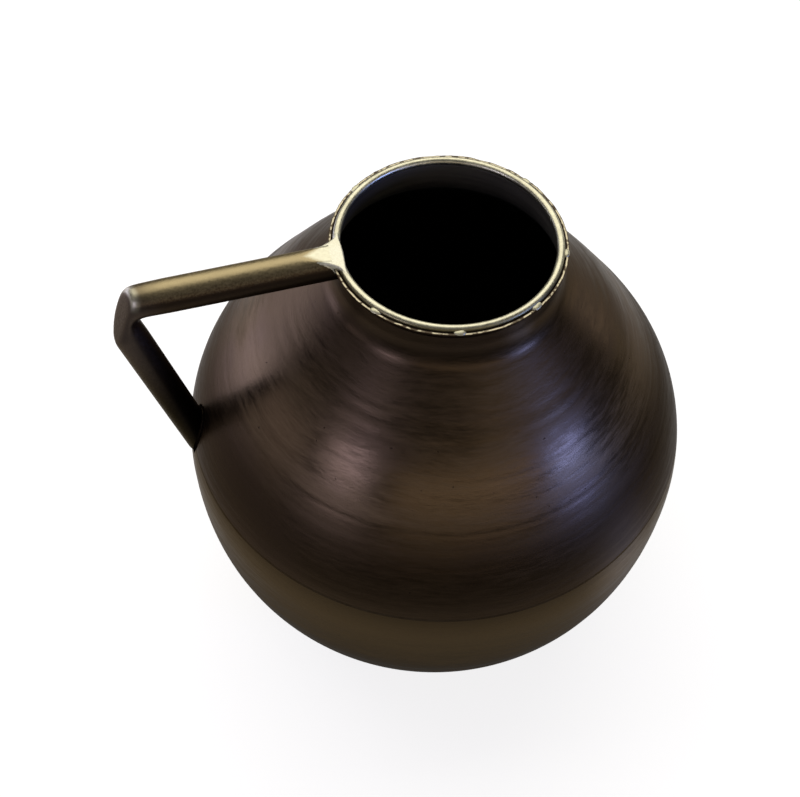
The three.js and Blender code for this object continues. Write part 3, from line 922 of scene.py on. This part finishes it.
def studio():
    """Soft lamps round the vase and a white world that lights it only faintly."""
    scene = bpy.context.scene
    scene.view_settings.view_transform = "Standard"
    world = bpy.data.worlds.new("studio")
    world.use_nodes = True
    tree = world.node_tree
    background = tree.nodes["Background"].inputs
    seen = add(tree, "LightPath")["Is Camera Ray"]
    level = add(tree, "MapRange", (seen, 0, 1, WORLD_LEVEL, 1), **SOFT)[0]
    background["Color"].default_value = (1, 1, 1, 1)
    tree.links.new(level, background["Strength"])
    scene.world = world
    softbox("ceiling panel", Vector((0, 0.95, 1.5)), (3, 1.8), 2.4, "#fffdf8")
    softbox("left window", toward(-56, 17.5, 1.3), (0.44, 0.34), 7.4, "#d8d6fc")
    softbox("right window", toward(51.5, 9.5, 1.3), (0.36, 0.14), 42, "#809cff")
    softbox("left panel", toward(-131, 1.2, 0.52), (0.38, 0.22), 4.8, "#d0d4ff")
    softbox("left wall", toward(-97, 4, 1.2), (0.92, 0.3), 1.15, "#f3ecff")
    softbox("right panel", toward(116, 2.5, 0.9), (0.6, 0.32), 1.6, "#f6f5f4")
    softbox("right wall", toward(42, 31, 1.5), (1.7, 0.5), 0.6, "#fff6ec")
    softbox("front panel", toward(3, 16.5, 1.6), (2.2, 0.24), 2.0, "#fff0e0")
    studio_floor()


# Camera, as worked out from the outline in the photograph: angles in degrees, lens and place in millimetres

CAMERA_AZIMUTH, CAMERA_ELEVATION, CAMERA_ROLL = -14, 55.10, 2.605
CAMERA_LENS, SENSOR_WIDTH = 54, 36
CAMERA_PLACE = Vector((-81.55, -268.13, 502.36))


def photo_camera():
    azimuth, elevation = math.radians(CAMERA_AZIMUTH), math.radians(CAMERA_ELEVATION)
    level = math.cos(elevation)
    back = Vector((math.sin(azimuth) * level, -math.cos(azimuth) * level, math.sin(elevation)))
    roll = Quaternion((0, 0, 1), math.radians(CAMERA_ROLL))
    data = bpy.data.cameras.new("camera")
    data.lens, data.sensor_width = CAMERA_LENS, SENSOR_WIDTH
    camera = bpy.data.objects.new("camera", data)
    camera.rotation_mode = "QUATERNION"
    camera.rotation_quaternion = (-back).to_track_quat("-Z", "Y") @ roll
    camera.location = CAMERA_PLACE * MM
    bpy.context.collection.objects.link(camera)
    bpy.context.scene.camera = camera


# Assembly

def dress(piece, node, material):
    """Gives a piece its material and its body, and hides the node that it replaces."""
    piece.data.materials.clear()
    piece.data.materials.append(material)
    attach(piece, "root")
    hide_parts(node)


def bare_edge(piece, material):
    """Gives the trimmed edge of the lip its own worn metal."""
    piece.data.materials.append(material)
    last = len(piece.data.materials) - 1
    edge = WIRE_RING + WIRE_RADIUS + WIRE_GAP / 2
    for face in piece.data.polygons:
        if face.center.z > (LIP_HEIGHT - EDGE_BAND) * MM and face.center.xy.length > edge * MM:
            face.material_index = last


def line_inside(piece, material):
    """Gives the faces that look into the vase the dull finish of its inside."""
    piece.data.materials.append(material)
    last = len(piece.data.materials) - 1
    for face in piece.data.polygons:
        inward = face.normal.xy.dot(face.center.xy) < 0
        if inward or (face.normal.z > 0.9 and face.center.z < 3 * SHEET * MM):
            face.material_index = last


photo_camera()
studio()

upper_patina = patinated_brass(
    "dark brown patinated spun brass",
    dark="#372c20", light="#62523f", tint="#4f4135", shade="#231a10", glance="#bfbdba",
)
lower_patina = patinated_brass(
    "olive patinated spun brass",
    dark="#463a28", light="#5e4f38", tint="#524430", shade="#2f2518", glance="#c6c2bc",
)
black_filler = bare_brass("blackened brass filler", "#130f0b", "#1d1711", 0.5, 0.65, "#5a554e")
dark_solder = bare_brass("darkened solder", "#2f271e", "#3b3227", 0.42, 0.56, "#b8b4ae")
aged_bar = bar_brass(
    "aged drawn brass bar",
    patina="#33291f", elbow="#4b423b", gold="#8f8160", black="#15120f", filed="#b7b29a",
)
# The wire's outer side gets a painted shade towards the crevice at the lip
bright_wire = bare_brass("satin brass wire", "#a09b84", "#bfbaa0", 0.32, 0.44, crevice_shade="#665f43")
satin_solder = bare_brass("satin brass solder", "#9c977e", "#b9b498", 0.42, 0.55)
filed_brass = bare_brass("bright filed brass", "#b2ae98", "#cac6b2", 0.4, 0.55)
lip_edge = worn_edge("worn brass edge", "#a1987f", "#2c2119")
oxidised = dull_inside("dull oxidised brass inside", "#23201b", "#322e27")

blank = body_blank("blank", CUT_GAP)
arm_blank = body_blank("arm_blank", CUT_GAP, ARM_CLEAR)
whole = bent_bar()
top_arm, elbow_layer, lower_arm = split_handle(whole, arm_blank)
lower, upper = lower_shell(), upper_shell()
dress(lower, "lower_shell", lower_patina)
line_inside(lower, oxidised)
dress(upper, "upper_shell", upper_patina)
line_inside(upper, oxidised)
bare_edge(upper, lip_edge)
dress(seam_solder(), "seam_solder", dark_solder)
dress(rim_wire(), "rim_wire", bright_wire)
dress(top_arm, "handle_top_arm", aged_bar)
dress(elbow_layer, "elbow_braze", aged_bar)
dress(lower_arm, "handle_lower_arm", aged_bar)
dress(foot_braze(blank), "foot_braze", black_filler)
dress(rim_braze(blank, arm_blank), "rim_braze", filed_brass)
tack = rim_tack()
for number, angle in enumerate(TACK_ANGLES, 1):
    dress(placed_tack(tack, number, angle), f"rim_tack_{number}", satin_solder)
drop(blank, arm_blank, whole, tack)
